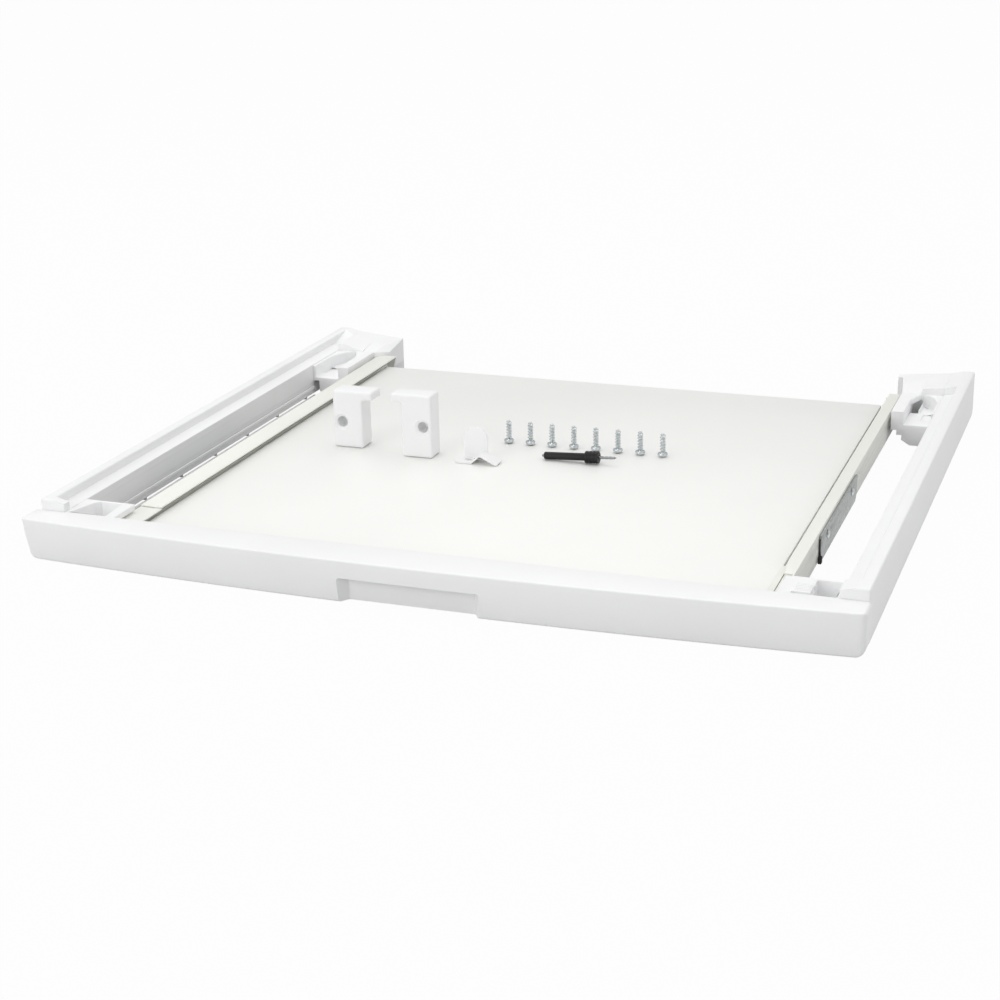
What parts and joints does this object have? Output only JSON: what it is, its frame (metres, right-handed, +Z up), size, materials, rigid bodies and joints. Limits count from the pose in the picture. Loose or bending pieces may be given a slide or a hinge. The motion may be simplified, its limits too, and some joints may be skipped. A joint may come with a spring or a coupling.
{
  "type": "washer dryer stacking kit",
  "caption": "Stacking frame for a dryer on a washer: side rails, corner blocks with foot pockets, a pull-out shelf on rollers, and loose brackets, clip, drill and screws.",
  "frame": {"origin": "middle of the footprint with the shelf closed, on the top of the washer that the rails stand on", "axes": "+X to the right seen from the front, +Y to the back, +Z up; the shelf pulls out towards -Y"},
  "size_m": [0.6, 0.558, 0.0711],
  "materials": {
    "white_plastic": "fine satin grain, white",
    "white_laminate": "smooth warm white laminate",
    "cream_steel": "cream powder coat",
    "galvanised_steel": "dull galvanised sheet",
    "zinc_plated_steel": "bright zinc plating",
    "nylon": "natural nylon",
    "black_rubber": "matt black rubber",
    "black_plastic": "smooth black plastic",
    "tool_steel": "ground steel"
  },
  "bodies": {
    "frame": {"left_side_rail": "white_plastic", "right_side_rail": "white_plastic", "front_left_corner_block": "white_plastic", "front_right_corner_block": "white_plastic", "rear_left_corner_block": "white_plastic", "rear_right_corner_block": "white_plastic", "left_fixed_runner": "cream_steel", "right_fixed_runner": "cream_steel", "left_runner_plate": "galvanised_steel", "right_runner_plate": "galvanised_steel", "left_front_plate_rivet": "zinc_plated_steel", "left_rear_plate_rivet": "zinc_plated_steel", "right_front_plate_rivet": "zinc_plated_steel", "right_rear_plate_rivet": "zinc_plated_steel", "left_rubber_stop": "black_rubber", "right_rubber_stop": "black_rubber", "left_front_axle": "zinc_plated_steel", "right_front_axle": "zinc_plated_steel", "front_cross_rail": "galvanised_steel", "rear_cross_rail": "galvanised_steel", "left_front_rail_screw": "zinc_plated_steel", "left_front_runner_screw": "zinc_plated_steel", "left_front_cross_rail_screw": "zinc_plated_steel", "left_rear_rail_screw": "zinc_plated_steel", "left_rear_runner_screw": "zinc_plated_steel", "left_rear_cross_rail_screw": "zinc_plated_steel", "right_front_rail_screw": "zinc_plated_steel", "right_front_runner_screw": "zinc_plated_steel", "right_front_cross_rail_screw": "zinc_plated_steel", "right_rear_rail_screw": "zinc_plated_steel", "right_rear_runner_screw": "zinc_plated_steel", "right_rear_cross_rail_screw": "zinc_plated_steel"},
    "shelf": {"fascia": "white_plastic", "shelf_panel": "white_laminate", "left_shelf_runner": "cream_steel", "right_shelf_runner": "cream_steel", "left_rear_axle": "zinc_plated_steel", "right_rear_axle": "zinc_plated_steel", "left_panel_screw": "zinc_plated_steel", "right_panel_screw": "zinc_plated_steel", "left_fascia_screw": "zinc_plated_steel", "right_fascia_screw": "zinc_plated_steel"},
    "front_left_wheel": {"left_front_roller": "nylon"},
    "front_right_wheel": {"right_front_roller": "nylon"},
    "rear_left_wheel": {"left_rear_roller": "nylon"},
    "rear_right_wheel": {"right_rear_roller": "nylon"},
    "left_bracket": {"left_rear_bracket": "white_plastic"},
    "right_bracket": {"right_rear_bracket": "white_plastic"},
    "clip": {"safety_clip": "white_plastic"},
    "drill": {"drill_sleeve": "black_plastic", "drill_bit": "tool_steel"},
    "screw_1": {"loose_screw_1": "zinc_plated_steel"},
    "screw_2": {"loose_screw_2": "zinc_plated_steel"},
    "screw_3": {"loose_screw_3": "zinc_plated_steel"},
    "screw_4": {"loose_screw_4": "zinc_plated_steel"},
    "screw_5": {"loose_screw_5": "zinc_plated_steel"},
    "screw_6": {"loose_screw_6": "zinc_plated_steel"},
    "screw_7": {"loose_screw_7": "zinc_plated_steel"},
    "screw_8": {"loose_screw_8": "zinc_plated_steel"}
  },
  "joints": [
    {"name": "shelf_slide", "type": "slide", "parent": "frame", "child": "shelf", "axis": [0, -1, 0], "range_m": [0, 0.34]},
    {"name": "front_left_wheel_turn", "type": "hinge", "parent": "frame", "child": "front_left_wheel", "pos_m": [-0.2365, -0.204, 0.0114], "axis": [1, 0, 0], "range_deg": [0, 3000]},
    {"name": "front_right_wheel_turn", "type": "hinge", "parent": "frame", "child": "front_right_wheel", "pos_m": [0.2365, -0.204, 0.0114], "axis": [1, 0, 0], "range_deg": [0, 3000]},
    {"name": "rear_left_wheel_turn", "type": "hinge", "parent": "shelf", "child": "rear_left_wheel", "pos_m": [-0.2365, 0.2253, 0.014], "axis": [1, 0, 0], "range_deg": [0, 2055]},
    {"name": "rear_right_wheel_turn", "type": "hinge", "parent": "shelf", "child": "rear_right_wheel", "pos_m": [0.2365, 0.2253, 0.014], "axis": [1, 0, 0], "range_deg": [0, 2055]},
    {"name": "left_bracket_lift", "type": "slide", "parent": "shelf", "child": "left_bracket", "axis": [0, 0, 1], "range_m": [0, 0.08]},
    {"name": "right_bracket_lift", "type": "slide", "parent": "shelf", "child": "right_bracket", "axis": [0, 0, 1], "range_m": [0, 0.08]},
    {"name": "clip_lift", "type": "slide", "parent": "shelf", "child": "clip", "axis": [0, 0, 1], "range_m": [0, 0.06]},
    {"name": "drill_lift", "type": "slide", "parent": "shelf", "child": "drill", "axis": [0, 0, 1], "range_m": [0, 0.06]},
    {"name": "screw_1_lift", "type": "slide", "parent": "shelf", "child": "screw_1", "axis": [0, 0, 1], "range_m": [0, 0.06]},
    {"name": "screw_2_lift", "type": "slide", "parent": "shelf", "child": "screw_2", "axis": [0, 0, 1], "range_m": [0, 0.06]},
    {"name": "screw_3_lift", "type": "slide", "parent": "shelf", "child": "screw_3", "axis": [0, 0, 1], "range_m": [0, 0.06]},
    {"name": "screw_4_lift", "type": "slide", "parent": "shelf", "child": "screw_4", "axis": [0, 0, 1], "range_m": [0, 0.06]},
    {"name": "screw_5_lift", "type": "slide", "parent": "shelf", "child": "screw_5", "axis": [0, 0, 1], "range_m": [0, 0.06]},
    {"name": "screw_6_lift", "type": "slide", "parent": "shelf", "child": "screw_6", "axis": [0, 0, 1], "range_m": [0, 0.06]},
    {"name": "screw_7_lift", "type": "slide", "parent": "shelf", "child": "screw_7", "axis": [0, 0, 1], "range_m": [0, 0.06]},
    {"name": "screw_8_lift", "type": "slide", "parent": "shelf", "child": "screw_8", "axis": [0, 0, 1], "range_m": [0, 0.06]}
  ],
  "couplings": [
    {"joint": "front_left_wheel_turn", "follows": "shelf_slide", "rad_per_m": 153.85},
    {"joint": "front_right_wheel_turn", "follows": "shelf_slide", "rad_per_m": 153.85},
    {"joint": "rear_left_wheel_turn", "follows": "shelf_slide", "rad_per_m": 105.26},
    {"joint": "rear_right_wheel_turn", "follows": "shelf_slide", "rad_per_m": 105.26}
  ]
}
